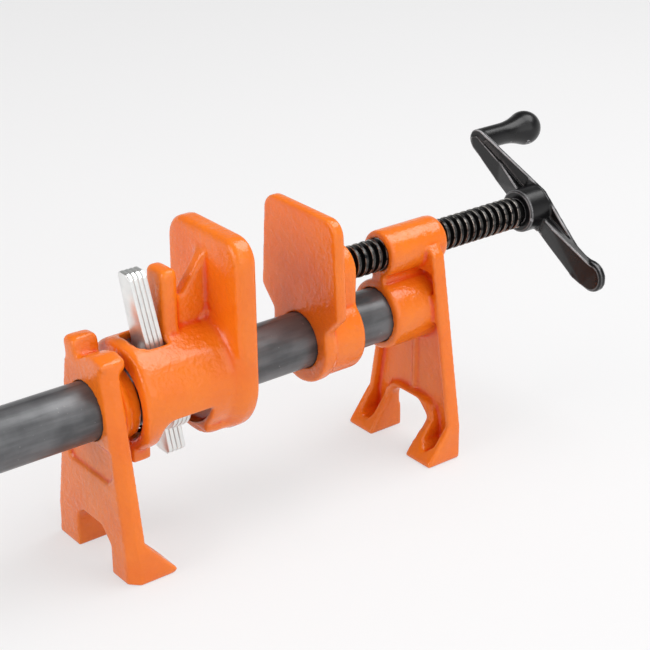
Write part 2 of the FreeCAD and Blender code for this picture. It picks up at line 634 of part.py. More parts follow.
def make_crank():
    """The crank: a hub with two opposite arms, a ball grip on one and a paddle on the other."""
    body = new_body("crank_handle", crank_station, screw_height, s.crank_angle)
    hub = new_sketch(body, "hub_circle", "YZ_Plane")
    ring(hub, s.hub_radius)
    pad(body, "hub", hub, s.hub_length)
    break_edges(body, "hub_rim", s.hub_edge, circle_at(ZERO, s.hub_radius))

    # The arms meet the round paddle a third of the way round each of its sides
    third = root(Size(0.75, "0.75"))
    plate = new_sketch(body, "arm_outline", "YZ_Plane", s.hub_length)
    trace(plate, [
        (-s.paddle_reach - s.paddle_radius / 2, -s.paddle_offset - s.paddle_radius * third),
        (-s.arm_belly_reach, -s.arm_belly, s.paddle_heel_round),
        (-s.hub_radius, -s.arm_hub_side * 0.8),
        (ZERO, -s.arm_hub_side),
        (s.grip_reach, -s.arm_grip_side),
        (s.grip_reach, s.arm_grip_side, s.arm_grip_side * 1.01),
        (ZERO, s.arm_hub_side),
        (-s.arm_hollow_reach, s.arm_hollow),
        (-s.paddle_reach + s.paddle_radius / 2, -s.paddle_offset + s.paddle_radius * third),
    ])
    pad(body, "arm_plate", plate, s.arm_plate)

    paddle = new_sketch(body, "paddle_circle", "YZ_Plane", s.hub_length + s.arm_plate - s.paddle_thickness)
    ring(paddle, s.paddle_radius, -s.paddle_reach, -s.paddle_offset)
    pad(body, "paddle", paddle, s.paddle_thickness)
    break_edges(body, "paddle_edge", s.paddle_edge,
                circle_at(s.hub_length + s.arm_plate - s.paddle_thickness, s.paddle_radius))

    spine_front = s.hub_length - s.spine_depth
    inside = s.paddle_radius - s.spine_inset
    spine = new_sketch(body, "spine_outline", "YZ_Plane", spine_front)
    tip = (s.spine_tip_upper + s.spine_tip_lower) / 2
    trace(spine, [
        (-s.paddle_reach - inside / 2, -s.paddle_offset - inside * third, inside),
        (-s.arm_belly_reach, -s.arm_belly + s.spine_inset, s.paddle_heel_round),
        (-s.hub_radius, -s.arm_hub_side * 0.8 + s.spine_inset),
        (s.hub_radius, -s.spine_lower_side),
        (s.grip_reach, -s.spine_tip_lower, s.spine_belly_round),
        (s.grip_reach, s.spine_tip_upper, tip * 1.01),
        (s.hub_radius, s.spine_upper_side),
        (-s.hub_radius, s.spine_upper_side),
        (-s.arm_hollow_reach, s.arm_hollow, -s.spine_ridge_round),
        (-s.paddle_reach + inside / 2, -s.paddle_offset + inside * third),
        (-s.paddle_reach - inside, -s.paddle_offset, inside),
    ])
    pad(body, "spine", spine, s.spine_depth)
    slope = new_sketch(body, "spine_slope", "XY_Plane")
    trace(slope, [
        (spine_front, -s.hub_radius),
        (s.hub_length + s.arm_plate - s.paddle_thickness, -s.paddle_reach + s.paddle_radius / 2),
        (s.hub_length + s.arm_plate - s.paddle_thickness, -s.paddle_reach - s.paddle_radius * 2),
        (-s.cut_overrun, -s.paddle_reach - s.paddle_radius * 2),
        (-s.cut_overrun, -s.hub_radius),
    ])
    pocket(body, "spine_taper", slope, s.paddle_reach * 2, both_sides=True)

    # A hollow flare touches the stem and the ball
    ball = s.grip_ball_radius
    ball_middle = s.hub_length + s.grip_end - ball
    reach = ball + s.grip_flare
    waist = s.grip_stem_radius + s.grip_flare
    leave = root(reach * reach - waist * waist)
    share = ball / reach
    grip = new_sketch(body, "grip_profile", "XY_Plane", ZERO, s.grip_reach)
    trace(grip, [
        (s.hub_length, ZERO),
        (ball_middle + ball, ZERO),
        (ball_middle, ball, ball),
        (ball_middle - leave * share, waist * share, ball),
        (ball_middle - leave, s.grip_stem_radius, -s.grip_flare),
        (s.hub_length, s.grip_stem_radius),
    ])
    revolve(body, "grip", grip)

    socket = new_sketch(body, "socket_circle", "YZ_Plane", -s.cut_overrun)
    ring(socket, s.screw_journal_radius + s.running_gap)
    pocket(body, "socket", socket, s.hub_length + s.cut_overrun)
    hole = new_sketch(body, "cross_hole_circle", "XY_Plane", -s.hub_radius * 2)
    ring(hole, s.cross_pin_radius + s.running_gap, s.cross_pin_setback, ZERO)
    pocket(body, "cross_hole", hole, s.hub_radius * 4)
    return body


def make_cross_pin():
    """The pin that fastens the crank's hub to the screw."""
    body = new_body("crank_cross_pin", crank_station + s.cross_pin_setback, screw_height, s.crank_angle)
    circle = new_sketch(body, "pin_circle", "XY_Plane")
    ring(circle, s.cross_pin_radius)
    pad(body, "pin", circle, (s.hub_radius - s.seat_gap) * 2, both_sides=True)
    return body


def make_sliding_jaw():
    """The sliding jaw: a plate on a collar round the pipe, with a boss that holds the screw's nose."""
    body = new_body("sliding_jaw", jaw_station)
    ring_chord = root(s.jaw_ring_radius * s.jaw_ring_radius - (s.jaw_ring_radius / 4) * (s.jaw_ring_radius / 4))
    face = new_sketch(body, "plate_outline", "YZ_Plane")
    trace(face, mirrored([
        (ring_chord, s.pipe_height + s.jaw_ring_radius / 4),
        (s.jaw_waist_half_width, s.jaw_waist_height),
        (s.jaw_wing_half_width, s.jaw_wing_height),
        (s.jaw_top_half_width, s.jaw_top),
    ]))
    pad(body, "plate", face, s.jaw_plate)
    foot = new_sketch(body, "plate_foot_circle", "YZ_Plane")
    ring(foot, s.jaw_ring_radius, ZERO, s.pipe_height)
    pad(body, "plate_foot", foot, s.jaw_plate)
    round_edges(body, "plate_corners", s.jaw_corner,
                along_x((s.jaw_top_half_width, s.jaw_top), (-s.jaw_top_half_width, s.jaw_top)))

    def outer(box):
        return box.ZMax > s.jaw_waist_height.value + NEAR

    break_edges(body, "plate_rear_edge", s.jaw_edge, in_plane_x(s.jaw_plate, outer))

    collar = new_sketch(body, "collar_circle", "YZ_Plane")
    ring(collar, s.collar_radius, ZERO, s.pipe_height)
    pad(body, "collar", collar, s.jaw_depth)
    break_edges(body, "collar_edge", s.collar_edge, circle_at(s.jaw_depth, s.collar_radius))

    boss = new_sketch(body, "boss_circle", "YZ_Plane", s.jaw_plate / 2)
    ring(boss, s.jaw_boss_radius, ZERO, screw_height)
    pad(body, "boss", boss, s.jaw_depth - s.jaw_plate / 2)

    web = new_sketch(body, "web_outline", "YZ_Plane", s.jaw_plate / 2)
    trace(web, mirrored([
        (s.jaw_boss_web / 2, s.pipe_height),
        (s.jaw_boss_web / 2, screw_height),
    ]))
    pad(body, "web", web, s.jaw_depth - s.jaw_plate / 2 - s.collar_edge)

    bore = new_sketch(body, "bore_circle", "YZ_Plane", -s.cut_overrun)
    ring(bore, slide_radius, ZERO, s.pipe_height)
    pocket(body, "bore", bore, s.jaw_depth + s.cut_overrun * 2)
    socket = new_sketch(body, "socket_circle", "YZ_Plane", s.jaw_depth - s.screw_nose)
    ring(socket, s.screw_nose_radius + s.running_gap, ZERO, screw_height)
    pocket(body, "socket", socket, s.screw_nose + s.cut_overrun)
    hole = new_sketch(body, "pin_hole_circle", "XZ_Plane")
    ring(hole, s.retaining_pin_radius + s.running_gap, s.jaw_depth - s.retaining_pin_setback,
         screw_height - s.groove_radius - s.retaining_pin_radius)
    pocket(body, "pin_hole", hole, s.jaw_boss_radius * 4, both_sides=True)
    return body


def make_retaining_pin():
    """The pin across the jaw's boss that sits in the groove of the screw's nose."""
    drop = s.groove_radius + s.retaining_pin_radius
    body = new_body("screw_retaining_pin", jaw_station + s.jaw_depth - s.retaining_pin_setback, screw_height - drop)
    half = root(s.jaw_boss_radius * s.jaw_boss_radius - drop * drop)
    circle = new_sketch(body, "pin_circle", "XZ_Plane")
    ring(circle, s.retaining_pin_radius)
    pad(body, "pin", circle, half * 2, both_sides=True)
    return body


def make_tail_jaw():
    """The tail jaw: a plate with a barrel behind it that houses the clutch."""
    body = new_body("tail_jaw", tail_station)
    plate = new_sketch(body, "plate_outline", "YZ_Plane", -s.tail_plate)
    trace(plate, [
        (s.tail_top_half_width, s.tail_top),
        (-s.tail_top_half_width, s.tail_top),
        (-s.tail_waist_half_width, s.tail_waist_height),
        (ZERO, s.tail_bottom, tail_round),
        (s.tail_waist_half_width, s.tail_waist_height, tail_round),
    ])
    pad(body, "plate", plate, s.tail_plate)
    round_edges(body, "plate_corners", s.tail_corner,
                along_x((s.tail_top_half_width, s.tail_top), (-s.tail_top_half_width, s.tail_top)))
    break_edges(body, "plate_rear_edge", s.tail_edge, in_plane_x(-s.tail_plate))
    break_edges(body, "plate_face_edge", s.tail_face_edge, in_plane_x(ZERO))

    skirt_outside = tail_round - s.skirt_step
    skirt_inside = skirt_outside - s.skirt_thickness
    skirt_middle = s.tail_bottom + tail_round
    half = s.skirt_half_width
    skirt = new_sketch(body, "skirt_outline", "YZ_Plane", -s.cut_front - s.cut_overrun)
    outside_z = skirt_middle - root(skirt_outside * skirt_outside - half * half)
    inside_z = skirt_middle - root(skirt_inside * skirt_inside - half * half)
    trace(skirt, [
        (-half, outside_z),
        (half, outside_z, skirt_outside),
        (half, inside_z),
        (-half, inside_z, -skirt_inside),
    ])
    pad(body, "skirt", skirt, s.cut_front + s.cut_overrun - s.tail_plate / 2)

    barrel = new_sketch(body, "barrel_profile", "XZ_Plane", ZERO, barrel_height)
    trace(barrel, [
        (-barrel_rear, ZERO),
        (-s.tail_plate / 2, ZERO),
        (-s.tail_plate / 2, s.barrel_radius),
        (-barrel_rear + s.barrel_edge, s.barrel_radius),
        (-barrel_rear, s.barrel_radius - s.barrel_edge),
    ])
    revolve(body, "barrel", barrel)

    tab = new_sketch(body, "tab_outline", "YZ_Plane", -s.tab_setback)
    trace(tab, mirrored([
        (s.tab_half_width, barrel_height),
        (s.tab_half_width, s.tab_top),
    ]))
    pad(body, "finger_tab", tab, s.tab_thickness)

    def tab_corner(edge):
        box = edge.BoundBox
        upright = same(box.XLength, 0) and same(box.YLength, 0)
        return upright and same(abs(box.YMin), s.tab_half_width.value)

    def tab_rim(edge):
        return same(edge.BoundBox.ZMin, s.tab_top.value)

    round_edges(body, "tab_corners", s.tab_rounding, tab_corner)
    break_edges(body, "tab_top_edge", s.tab_edge, tab_rim)

    tab_front = -s.tab_setback + s.tab_thickness
    gusset = new_sketch(body, "gusset_profile", "XZ_Plane")
    trace(gusset, [
        (-s.tail_plate, barrel_height),
        (-s.tail_plate, s.gusset_top),
        (tab_front + s.gusset_notch, s.gusset_foot),
        (tab_front, s.gusset_foot + s.gusset_notch, -s.gusset_notch),
        (tab_front - s.tab_rounding, s.gusset_foot + s.gusset_notch),
        (tab_front - s.tab_rounding, barrel_height),
    ])
    pad(body, "gusset", gusset, s.gusset_width, both_sides=True)

    lip = new_sketch(body, "lip_outline", "YZ_Plane", -barrel_rear)
    trace(lip, mirrored([
        (s.lip_width / 2, s.lip_bottom),
        (s.lip_width / 2, s.pipe_height - s.mouth_radius),
    ]))
    pad(body, "lip", lip, barrel_rear - s.cut_rear - s.lip_step)

    # The clutch chamber, open to the rear, to the finger slot and underneath
    mouth = new_sketch(body, "mouth_circle", "YZ_Plane", -barrel_rear - s.cut_overrun)
    ring(mouth, s.mouth_radius, ZERO, s.pipe_height)
    pocket(body, "mouth", mouth, barrel_rear + s.cut_overrun - s.chamber_front)
    chamber = new_sketch(body, "chamber_circle", "YZ_Plane", -barrel_rear + s.mouth_depth)
    ring(chamber, s.barrel_radius - s.barrel_wall, ZERO, barrel_height)
    pocket(body, "chamber", chamber, barrel_rear - s.mouth_depth - s.chamber_front)
    slot_rear = -s.tab_setback - s.slot_length
    slot = new_sketch(body, "slot_outline", "XY_Plane", s.pipe_height)
    trace(slot, [
        (-s.tab_setback, -s.slot_half_width),
        (-s.tab_setback, s.slot_half_width),
        (slot_rear + s.slot_rounding, s.slot_half_width),
        (slot_rear, s.slot_half_width - s.slot_rounding, s.slot_rounding),
        (slot_rear, -s.slot_half_width + s.slot_rounding),
        (slot_rear + s.slot_rounding, -s.slot_half_width, s.slot_rounding),
    ])
    pocket(body, "slot", slot, s.barrel_radius + s.barrel_lift + s.cut_overrun)
    opening = new_sketch(body, "opening_profile", "XZ_Plane")
    trace(opening, [
        (-s.cut_front, ZERO),
        (-s.cut_front, s.cut_height),
        (-s.cut_rear + s.cut_corner, s.cut_height),
        (-s.cut_rear, s.cut_height - s.cut_corner, s.cut_corner),
        (-s.cut_rear, ZERO),
    ])
    pocket(body, "opening", opening, s.barrel_radius * 4, both_sides=True)

    bore = new_sketch(body, "bore_circle", "YZ_Plane", -barrel_rear - s.cut_overrun)
    ring(bore, slide_radius, ZERO, s.pipe_height)
    pocket(body, "bore", bore, barrel_rear + s.cut_overrun * 2)
    return body


def make_clutch_plates():
    """Four leaning plates that bite the pipe; their tops are squeezed towards the finger tab."""
    cos_tilt = cosine(s.clutch_tilt)
    sin_tilt = sine(s.clutch_tilt)
    pivot_x = tail_station - s.tab_setback - s.clutch_face_gap
    pivot_z = s.pipe_height + s.clutch_pivot_rise
    plates = []
    for number in range(1, int(s.clutch_count.value) + 1):
        body = document.addObject("PartDesign::Body", "clutch_plate_%d" % number)
        body.Label = "clutch_plate_%d" % number
        # Each plate lies behind the last, slid down so that its hole stays on the pipe
        back = s.clutch_pitch * number
        slip = s.clutch_pitch * (number - 0.5) * sin_tilt / cos_tilt
        reach = s.clutch_pivot_rise / cos_tilt - slip
        body.Placement = Placement(Vector(), Rotation(Vector(0, -1, 0), s.clutch_tilt.value))
        body.setExpression("Placement.Rotation.Angle", s.clutch_tilt.text)
        place_x = pivot_x - back * cos_tilt + reach * sin_tilt
        place_z = pivot_z - back * sin_tilt - reach * cos_tilt
        body.setExpression("Placement.Base.x", place_x.text)
        body.setExpression("Placement.Base.y", middle_side.text)
        body.setExpression("Placement.Base.z", place_z.text)
        disc = new_sketch(body, "disc_circle", "YZ_Plane")
        ring(disc, s.clutch_disc_radius)
        pad(body, "disc", disc, s.clutch_pitch - s.clutch_play)
        tabs = new_sketch(body, "tabs_outline", "YZ_Plane")
        trace(tabs, mirrored([
            (s.clutch_tail_half_width - s.clutch_corner, -s.clutch_tail_drop),
            (s.clutch_tail_half_width, -s.clutch_tail_drop + s.clutch_corner, s.clutch_corner),
            (s.clutch_tail_half_width, -s.clutch_hole_radius),
            (s.clutch_root_half_width, s.clutch_hole_radius),
            (s.clutch_tab_half_width, s.clutch_tab_rise - s.clutch_corner),
            (s.clutch_tab_half_width - s.clutch_corner, s.clutch_tab_rise, s.clutch_corner),
        ]))
        pad(body, "tabs", tabs, s.clutch_pitch - s.clutch_play)
        hole = new_sketch(body, "hole_circle", "YZ_Plane", -s.clutch_pitch)
        ring(hole, s.clutch_hole_radius)
        pocket(body, "hole", hole, s.clutch_pitch * 3)
        plates.append(body)
    return plates


def bend(start, heading, finish):
    """The arc that leaves a point in a given heading and ends at another point."""
    chord = finish - start
    across = chord - heading * chord.dot(heading)
    across.normalize()
    radius = chord.dot(chord) / (2 * chord.dot(across))
    centre = start + across * radius
    middle = (start + finish) / 2 - centre
    middle.normalize()
    return Part.Arc(start, centre + middle * radius, finish).toShape()


def two_bends(start, first_heading, finish, last_heading):
    """Two arcs that join smoothly and leave and arrive in the given headings."""
    chord = finish - start
    sweep = 2 * (1 - first_heading.dot(last_heading))
    both = chord.dot(first_heading + last_heading)
    reach = (math.sqrt(both * both + sweep * chord.dot(chord)) - both) / sweep
    joint = (start + finish + (first_heading - last_heading) * reach) / 2
    first = bend(start, first_heading, joint)
    last = bend(finish, last_heading * -1, joint)
    return [first, last]


def least_gap(points, wire, near):
    """The least gap of a winding to itself, on points further apart along it than the near count."""
    gap = None
    for index, point in enumerate(points):
        for other in points[index + near:]:
            distance = (other - point).Length - 2 * wire
            gap = distance if gap is None else min(gap, distance)
    return gap


def make_clutch_spring():
    """The coil spring round the pipe that leans the plates; one unbroken wire in quarter turns."""
    tilt = math.tan(math.radians(s.clutch_tilt.value))
    wire = s.spring_wire_radius.value
    coil = s.spring_coil_radius.value
    stack = s.clutch_pitch.value * s.clutch_count.value / math.cos(math.radians(s.clutch_tilt.value))
    upper = coil + wire
    pivot = (tail_station - s.tab_setback - s.clutch_face_gap).value
    rear_face = pivot - stack - (upper - s.clutch_pivot_rise.value) * tilt
    start = (stand_station + s.spigot_depth + s.spring_seat).value + wire
    finish = rear_face - s.spring_seat.value - wire
    quarters = int(s.spring_turns.value) * 4
    climb = (finish - start) / quarters

    def place(count):
        angle = math.pi / 2 * count
        return Vector(start + climb * count, coil * math.sin(angle), coil * math.cos(angle))

    def heading(count):
        angle = math.pi / 2 * count
        way = Vector(climb, coil * math.pi / 2 * math.cos(angle), -coil * math.pi / 2 * math.sin(angle))
        return way.normalize()

    edges = []
    for count in range(quarters):
        edges += two_bends(place(count), heading(count), place(count + 1), heading(count + 1))
    path = Part.Wire(Part.__sortEdges__(edges))
    # The wire's section has six sides, which keeps the faces of the winding few
    outward = Vector(0, 0, 1)
    across = heading(0).cross(outward)
    corners = []
    for count in range(7):
        angle = math.pi / 3 * count
        corners.append(place(0) + outward * (wire * math.cos(angle)) + across * (wire * math.sin(angle)))
    tube = path.makePipeShell([Part.makePolygon(corners)], True)
    body = document.addObject("Part::Feature", "clutch_spring")
    body.Label = "clutch_spring"
    body.Shape = tube
    body.Placement = Placement(Vector(0, middle_side.value, s.pipe_height.value), Rotation())
    steps = 8
    points = [place(count / steps) for count in range(quarters * steps + 1)]
    print("clutch_spring least gap to itself %.2f mm" % least_gap(points, wire, 2 * steps))
    return body


def make_tail_stand():
    """The stand behind the tail jaw: a ribbed web on two feet, with a thumb rest on top."""
    body = new_body("tail_stand", stand_station)
    outline = new_sketch(body, "plate_outline", "YZ_Plane")
    trace(outline, [
        (s.stand_foot_half_width, ZERO),
        (s.stand_shoulder_half_width, s.stand_shoulder),
        (s.stand_top_half_width, s.stand_top),
        (-s.stand_top_half_width, s.stand_top),
        (-s.stand_shoulder_half_width, s.stand_shoulder),
        (-s.stand_foot_half_width, ZERO),
    ])
    pad(body, "plate", outline, s.stand_depth)

    toe = new_sketch(body, "toe_profile", "XZ_Plane")
    trace(toe, [
        (s.stand_depth, ZERO),
        (s.stand_toe_reach - s.stand_toe_lip, ZERO),
        (s.stand_toe_reach, s.stand_toe_lip, s.stand_toe_lip * 1.2),
        (s.stand_depth, s.stand_toe_rise),
    ])
    pad(body, "toes", toe, s.stand_foot_half_width * 2, both_sides=True)

    arch = new_sketch(body, "arch_outline", "YZ_Plane", -s.cut_overrun)
    trace(arch, mirrored([
        (s.stand_inside, -s.cut_overrun),
        (s.stand_inside, s.stand_arch_height - s.stand_arch_corner),
        (s.stand_inside - s.stand_arch_corner, s.stand_arch_height, s.stand_arch_corner),
    ]))
    pocket(body, "arch", arch, s.stand_toe_reach + s.cut_overrun * 2)

    rib = s.stand_inside + s.stand_arch_rib
    rib_top = s.stand_arch_height + s.stand_arch_rib
    slot_outside = s.stand_shoulder_half_width - s.stand_rim
    recess = new_sketch(body, "recess_outline", "YZ_Plane", s.stand_web)
    trace(recess, mirrored([
        (rib, s.stand_slot_floor + s.slot_corner),
        (rib + s.slot_corner, s.stand_slot_floor, s.slot_corner),
        (slot_outside - s.slot_corner, s.stand_slot_floor),
        (slot_outside, s.stand_slot_floor + s.slot_corner, s.slot_corner),
        (slot_outside, s.stand_shoulder),
        (s.stand_top_half_width - s.stand_rim, s.saddle_height - s.stand_rim),
    ]) + [
        (-rib, rib_top - s.stand_arch_rib * 2),
        (-rib + s.stand_arch_rib * 2, rib_top, -s.stand_arch_rib * 2),
        (rib - s.stand_arch_rib * 2, rib_top),
        (rib, rib_top - s.stand_arch_rib * 2, -s.stand_arch_rib * 2),
    ])
    pocket(body, "recess", recess, s.stand_toe_reach)

    collar = new_sketch(body, "collar_circle", "YZ_Plane")
    ring(collar, s.ring_radius, ZERO, s.pipe_height)
    pad(body, "collar", collar, s.ring_depth)
    break_edges(body, "collar_edge", s.ring_edge, circle_at(s.ring_depth, s.ring_radius))
    spigot = new_sketch(body, "spigot_circle", "YZ_Plane", s.stand_web)
    ring(spigot, s.spigot_radius, ZERO, s.pipe_height)
    pad(body, "spigot", spigot, s.spigot_depth - s.stand_web)

    # The thumb rest: a block whose top falls towards the barrel, hollowed along the pipe
    horn = new_sketch(body, "thumb_rest_profile", "XZ_Plane")
    trace(horn, [
        (ZERO, s.saddle_height - s.stand_rim),
        (s.stand_depth, s.saddle_height - s.stand_rim),
        (s.horn_length, s.saddle_height),
        (s.horn_length, s.horn_top - s.horn_fall),
        (s.horn_length - s.horn_fall, s.horn_top),
        (ZERO, s.horn_top - s.horn_fall / 2),
    ])
    pad(body, "thumb_rest", horn, s.stand_top_half_width * 2, both_sides=True)
    hollow = new_sketch(body, "thumb_hollow_outline", "YZ_Plane", -s.cut_overrun)
    trace(hollow, [
        (s.horn_foot + s.stand_rim, s.horn_top + s.cut_overrun),
        (s.horn_foot - s.horn_fall, s.saddle_height, -s.hollow_radius),
        (-s.horn_fall, s.stand_top - s.horn_fall),
        (-s.stand_top_half_width / 2, s.stand_top),
        (-s.stand_top_half_width, s.stand_top - s.horn_fall),
        (-s.stand_top_half_width - s.cut_overrun, s.horn_top + s.cut_overrun),
    ])
    pocket(body, "thumb_hollow", hollow, s.horn_length + s.cut_overrun * 2)

    rear = new_sketch(body, "rear_recess_outline", "YZ_Plane", -s.cut_overrun)
    trace(rear, mirrored([
        (s.recess_half_width - s.recess_corner, s.recess_bottom),
        (s.recess_half_width, s.recess_bottom + s.recess_corner, s.recess_corner),
        (s.recess_half_width, s.pipe_height - s.pipe_radius),
    ]))
    pocket(body, "rear_recess", rear, s.recess_depth + s.cut_overrun)

    bore = new_sketch(body, "bore_circle", "YZ_Plane", -s.cut_overrun)
    ring(bore, slide_radius, ZERO, s.pipe_height)
    pocket(body, "bore", bore, s.spigot_depth + s.cut_overrun * 2)
    return body


def check_and_write(bodies):
    """Stops on any failed feature or bad solid, then writes one file for each piece."""
    document.recompute()
    for item in document.Objects:
        if "Invalid" in item.State or "Error" in item.State:
            raise ValueError("%s is %s" % (item.Name, item.State))
    os.makedirs("parts", exist_ok=True)
    for body in bodies:
        shape = body.Shape
        if shape.isNull() or not shape.isValid() or len(shape.Solids) < 1:
            raise ValueError("%s has no good solid" % body.Label)
        shape.exportStep("parts/%s.step" % body.Label)
        box = shape.BoundBox
        print("%-22s solids %d volume %9.0f x %7.2f %7.2f y %6.2f %6.2f z %6.2f %6.2f" % (
            body.Label, len(shape.Solids), shape.Volume, box.XMin, box.XMax, box.YMin, box.YMax, box.ZMin, box.ZMax))


pieces = [make_pipe(), make_head(), make_screw(), make_crank(), make_cross_pin(), make_sliding_jaw(),
          make_retaining_pin(), make_tail_jaw()]
pieces += make_clutch_plates()
pieces.append(make_clutch_spring())
pieces.append(make_tail_stand())
check_and_write(pieces)
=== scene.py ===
import json
import math

import bmesh
import bpy
from mathutils import Matrix, Vector


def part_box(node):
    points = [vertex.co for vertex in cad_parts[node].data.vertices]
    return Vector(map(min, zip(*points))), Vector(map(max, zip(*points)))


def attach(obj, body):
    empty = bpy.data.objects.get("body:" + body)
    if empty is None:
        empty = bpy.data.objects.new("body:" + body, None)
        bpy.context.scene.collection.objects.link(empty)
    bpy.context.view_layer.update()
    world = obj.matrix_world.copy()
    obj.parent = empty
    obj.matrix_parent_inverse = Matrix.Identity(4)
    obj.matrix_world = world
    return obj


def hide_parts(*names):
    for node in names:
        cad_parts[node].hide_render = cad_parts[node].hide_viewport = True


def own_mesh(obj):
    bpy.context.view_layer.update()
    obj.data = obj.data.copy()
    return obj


# A woodworking pipe clamp dressed for the camera. Lengths are metres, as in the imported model;
# MM turns a size that a maker would give in millimetres into metres.
MM = 0.001

# Corners of a mesh nearer to one another than this are joined
WELD = 0.002 * MM

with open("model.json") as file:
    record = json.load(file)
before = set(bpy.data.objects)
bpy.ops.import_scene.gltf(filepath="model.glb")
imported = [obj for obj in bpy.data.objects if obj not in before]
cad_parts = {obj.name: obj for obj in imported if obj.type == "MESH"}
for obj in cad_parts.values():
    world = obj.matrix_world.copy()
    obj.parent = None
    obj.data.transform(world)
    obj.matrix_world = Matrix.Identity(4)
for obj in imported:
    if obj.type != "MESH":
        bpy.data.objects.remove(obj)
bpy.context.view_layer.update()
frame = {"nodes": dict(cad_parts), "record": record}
nodes = frame["nodes"]


# Helpers for colours and material nodes

def linear(code):
    """A sRGB hex colour as the linear colour that the shaders use."""
    channels = [int(code[place:place + 2], 16) / 255 for place in (1, 3, 5)]
    return [c / 12.92 if c <= 0.04045 else ((c + 0.055) / 1.055) ** 2.4 for c in channels] + [1.0]


def per_size(millimetres):
    """The scale of a pattern whose features measure this much."""
    return 1 / (millimetres * MM)


def node(tree, kind, links=None, **settings):
    """Adds a node with its settings; links holds a socket or a plain value for each input."""
    made = tree.nodes.new(kind)
    for name, value in settings.items():
        setattr(made, name, value)
    for name, value in (links or {}).items():
        if isinstance(value, bpy.types.NodeSocket):
            tree.links.new(value, made.inputs[name])
        else:
            made.inputs[name].default_value = value
    return made


def empty_material(name):
    """A material with no nodes yet but the Object coordinates that its patterns read."""
    material = bpy.data.materials.new(name)
    material.use_nodes = True
    tree = material.node_tree
    tree.nodes.clear()
    return material, tree, node(tree, "ShaderNodeTexCoord").outputs["Object"]


def noise(tree, place, millimetres, detail):
    """A cloudy pattern whose largest features measure this much."""
    return node(tree, "ShaderNodeTexNoise", {
        "Vector": place, "Scale": per_size(millimetres), "Detail": detail,
    }).outputs["Fac"]


def ranged(tree, value, low=0.0, high=1.0, to_low=0.0, to_high=1.0):
    """A value whose range from low to high is spread from to_low to to_high."""
    return node(tree, "ShaderNodeMapRange", {
        "Value": value, "From Min": low, "From Max": high, "To Min": to_low, "To Max": to_high,
    }).outputs["Result"]


def product(tree, first, second):
    """Two values multiplied."""
    return node(tree, "ShaderNodeMath", {0: first, 1: second}, operation="MULTIPLY").outputs["Value"]


def two_tone(tree, share, first, second):
    """Two colours mixed: inputs 6 and 7 of a Mix node are its colours, and output 2 is the result."""
    return node(tree, "ShaderNodeMix", {"Factor": share, 6: first, 7: second}, data_type="RGBA").outputs[2]


def bumped(tree, height, millimetres, strength, under=None):
    """A surface that a pattern raises by this much, over another bump or bevel if there is one."""
    links = {"Height": height, "Distance": millimetres * MM, "Strength": strength}
    if under:
        links["Normal"] = under
    return node(tree, "ShaderNodeBump", links).outputs["Normal"]


def seen_directly(tree):
    """One for what the camera or a shiny or clear surface sees, and nothing for light that spreads."""
    path = node(tree, "ShaderNodeLightPath").outputs
    seen = node(tree, "ShaderNodeMath", {
        0: path["Is Camera Ray"], 1: path["Is Glossy Ray"],
    }, operation="MAXIMUM").outputs["Value"]
    return node(tree, "ShaderNodeMath", {
        0: seen, 1: path["Is Transmission Ray"],
    }, operation="MAXIMUM").outputs["Value"]


# Materials, each with its patterns sized in millimetres

def orange_enamel():
    # Bright orange enamel over a rough iron casting: the paint levels into a fine orange peel over the sand's
    # coarser lumps.
    # Its edges are painted paler, partly for sparse paint and partly as a painted highlight, and its hollows
    # are painted deeper and redder as painted shade.
    material, tree, place = empty_material("orange_enamel_on_cast_iron")
    flow = noise(tree, place, 22, 3.0)
    body = two_tone(tree, ranged(tree, flow, 0.3, 0.7), linear("#E76D10"), linear("#ED7917"))
    # Painted shade: hollows are painted a deeper, redder orange, where shade and orange light thrown back from
    # nearby faces fall
    bend = node(tree, "ShaderNodeNewGeometry").outputs["Pointiness"]
    hollow_shade_mask = ranged(tree, bend, 0.497, 0.474)
    shaded_hollows = two_tone(tree, hollow_shade_mask, body, linear("#E24A0A"))
    # Edges painted paler: partly sparse paint, partly a painted highlight
    chips = noise(tree, place, 2.5, 4.0)
    edge = ranged(tree, bend, 0.515, 0.60, to_high=0.8)
    thin_paint_and_edge_highlight = product(tree, edge, chips)
    painted = two_tone(tree, thin_paint_and_edge_highlight, shaded_hollows, linear("#FFA24C"))
    # Sand lumps 4.5 mm across under peel 1.8 mm across
    lumps = noise(tree, place, 4.5, 2.0)
    peel = noise(tree, place, 1.8, 2.0)
    cast = bumped(tree, lumps, 0.8, 0.6)
    skin = bumped(tree, peel, 0.30, 1.0, cast)
    rough = ranged(tree, chips, to_low=0.16, to_high=0.30)
    shader = node(tree, "ShaderNodeBsdfPrincipled", {
        "Base Color": painted, "Roughness": rough, "Normal": skin, "IOR": 1.45,
        "Coat Weight": 0.2, "Coat Roughness": 0.08,
    })
    node(tree, "ShaderNodeOutputMaterial", {"Surface": shader.outputs["BSDF"]})
    return material


